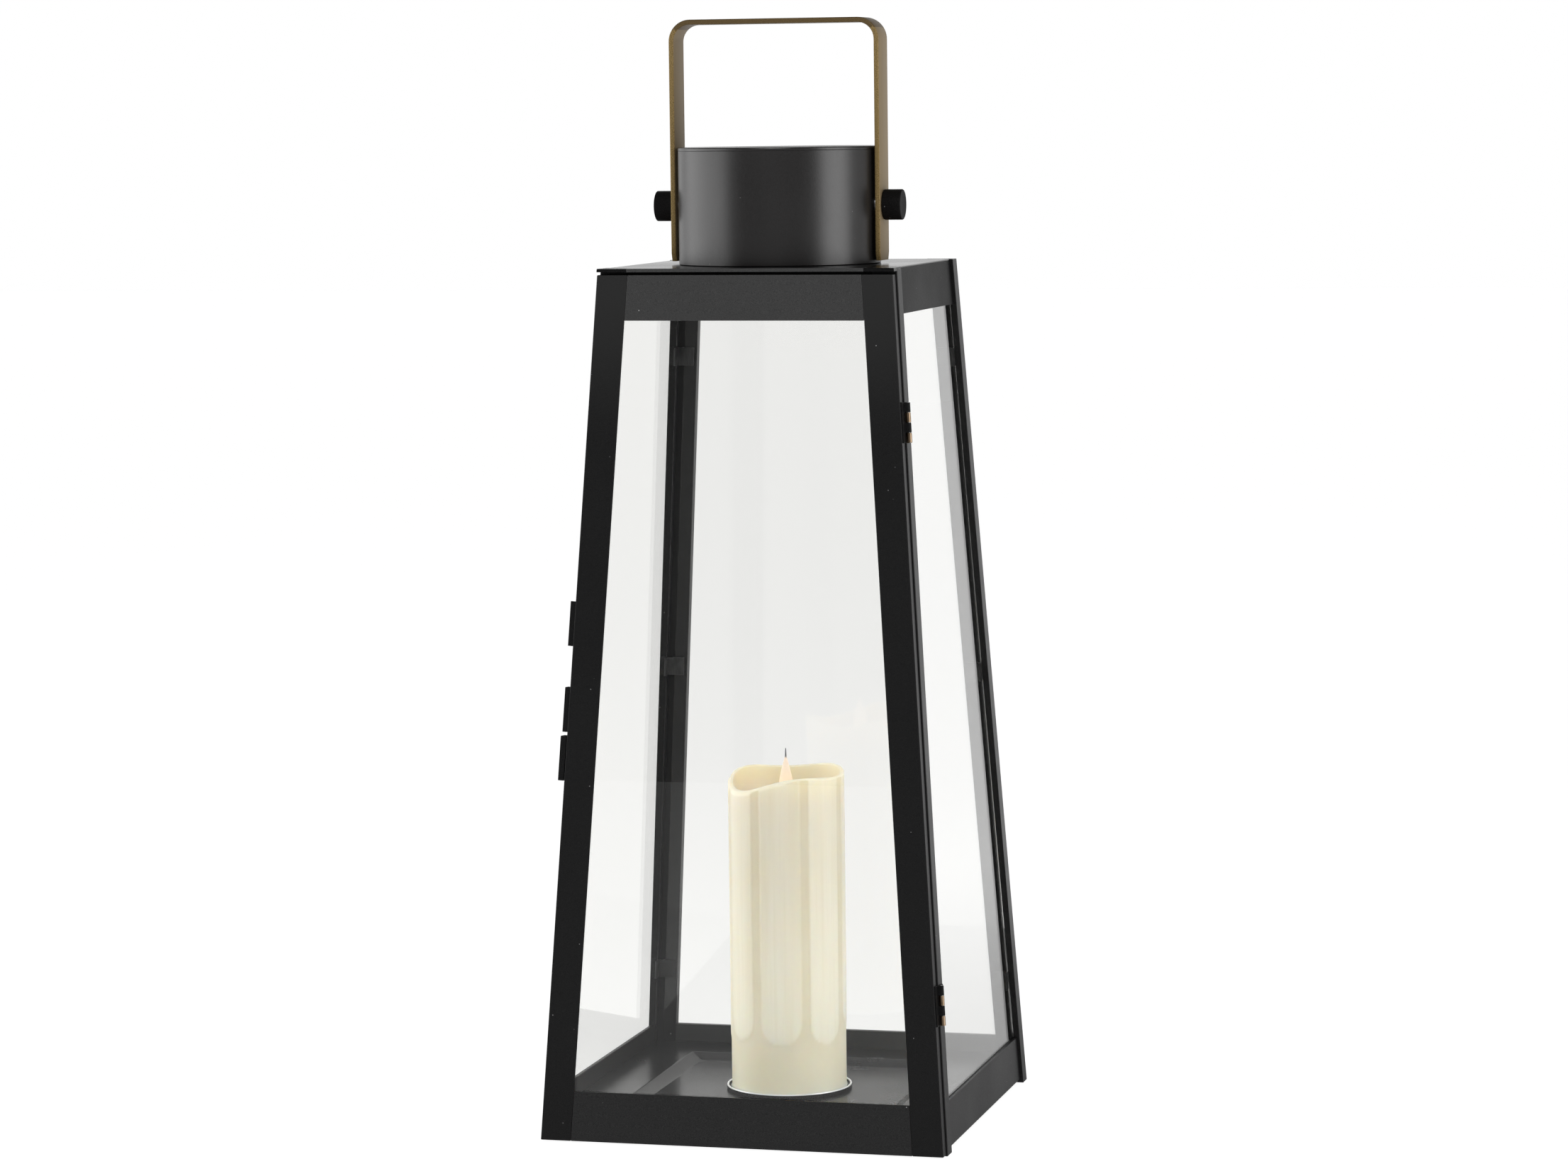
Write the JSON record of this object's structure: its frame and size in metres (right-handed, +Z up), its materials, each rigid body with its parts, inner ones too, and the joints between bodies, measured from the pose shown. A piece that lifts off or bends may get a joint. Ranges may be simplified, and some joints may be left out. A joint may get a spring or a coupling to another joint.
{
  "type": "candle lantern",
  "caption": "Tapered black metal lantern with clear panes, a hinged glazed door with a slide latch, a round chimney with a swinging strap handle, and a flameless pillar candle inside.",
  "frame": {"origin": "centre of the footprint on the ground plane", "axes": "+Z up, the door on the -Y side, +X to the viewer's right when facing the door"},
  "size_m": [0.265, 0.2519, 0.7115],
  "materials": {
    "black_coat": "satin black powder coat with a fine grain",
    "clear_glass": "clear float glass, polished",
    "spring_steel": "thin spring steel, dull",
    "plated_steel": "zinc plated",
    "hinge_brass": "dull brass",
    "knob_black": "satin black, turned",
    "strap_bronze": "brushed antique bronze",
    "cup_metal": "dark polished metal with a bright rim",
    "ivory_wax": "ivory paraffin wax with long runs",
    "white_plastic": "moulded white plastic",
    "black_plastic": "moulded black plastic",
    "flame_plastic": "translucent frosted plastic",
    "coil_copper": "enamelled copper winding",
    "board": "glass-fibre circuit board",
    "lamp_resin": "clear warm white lamp resin",
    "cell_can": "printed steel can, plain",
    "magnet": "nickel plated"
  },
  "bodies": {
    "frame": {"post_front_left": "black_coat", "post_front_right": "black_coat", "post_rear_left": "black_coat", "post_rear_right": "black_coat", "roof_plate": "black_coat", "front_tab_left": "black_coat", "front_tab_right": "black_coat", "top_rail_left": "black_coat", "top_rail_right": "black_coat", "top_rail_rear": "black_coat", "front_header": "black_coat", "bottom_rail_left": "black_coat", "bottom_rail_right": "black_coat", "bottom_rail_rear": "black_coat", "front_sill": "black_coat", "floor_pan": "black_coat", "candle_cup": "cup_metal", "glass_left": "clear_glass", "glass_right": "clear_glass", "glass_rear": "clear_glass", "glass_clips_front": "spring_steel", "glass_clips_rear": "spring_steel", "chimney_shell": "black_coat", "chimney_cap": "black_coat", "pivot_knob_left": "knob_black", "pivot_knob_right": "knob_black", "pivot_washers": "plated_steel", "pivot_nuts": "plated_steel", "hinge_post_leaf_upper": "hinge_brass", "hinge_post_leaf_lower": "hinge_brass", "hinge_pin_upper": "plated_steel", "hinge_pin_lower": "plated_steel", "latch_keeper": "black_coat"},
    "door": {"door_stile_left": "black_coat", "door_stile_right": "black_coat", "door_rail_top": "black_coat", "door_rail_bottom": "black_coat", "door_glass": "clear_glass", "door_glass_clips": "spring_steel", "hinge_door_leaf_upper": "black_coat", "hinge_door_leaf_lower": "black_coat", "door_pull": "black_coat", "latch_guide": "black_coat"},
    "latch_bolt": {"latch_bolt": "black_coat"},
    "handle": {"handle_strap": "strap_bronze"},
    "candle": {"candle_wax": "ivory_wax", "candle_core": "white_plastic", "flame_wire": "plated_steel", "works_shelf": "white_plastic", "flame_coil": "coil_copper", "circuit_board": "board", "led_lamp": "lamp_resin", "led_bracket": "white_plastic", "battery_cells": "cell_can", "battery_contacts": "plated_steel", "battery_carrier": "black_plastic"},
    "flame": {"flame_blade": "flame_plastic", "flame_magnet": "magnet"},
    "battery_hatch": {"battery_hatch": "white_plastic"},
    "switch_slider": {"switch_slider": "black_plastic"}
  },
  "joints": [
    {"name": "door_hinge", "type": "hinge", "parent": "frame", "child": "door", "pos_m": [0.11646, -0.09982, 0.27637], "axis": [-0.0647, 0.0647, 0.9958], "range_deg": [0, 100]},
    {"name": "latch_slide", "type": "slide", "parent": "door", "child": "latch_bolt", "axis": [-0.0647, -0.0647, -0.9958], "range_m": [0, 0.012]},
    {"name": "handle_swing", "type": "hinge", "parent": "frame", "child": "handle", "pos_m": [0, 0, 0.592], "axis": [1, 0, 0], "range_deg": [-104, 104]},
    {"name": "candle_lift", "type": "slide", "parent": "frame", "child": "candle", "axis": [0, 0, 1], "range_m": [0, 0.06]},
    {"name": "flame_sway", "type": "hinge", "parent": "candle", "child": "flame", "pos_m": [0, 0, 0.203], "axis": [1, 0, 0], "range_deg": [-9, 9]},
    {"name": "hatch_turn", "type": "hinge", "parent": "candle", "child": "battery_hatch", "pos_m": [-0.006, 0, 0.018], "axis": [0, 0, 1], "range_deg": [0, 30]},
    {"name": "switch_slide", "type": "slide", "parent": "candle", "child": "switch_slider", "axis": [1, 0, 0], "range_m": [0, 0.0025]}
  ]
}
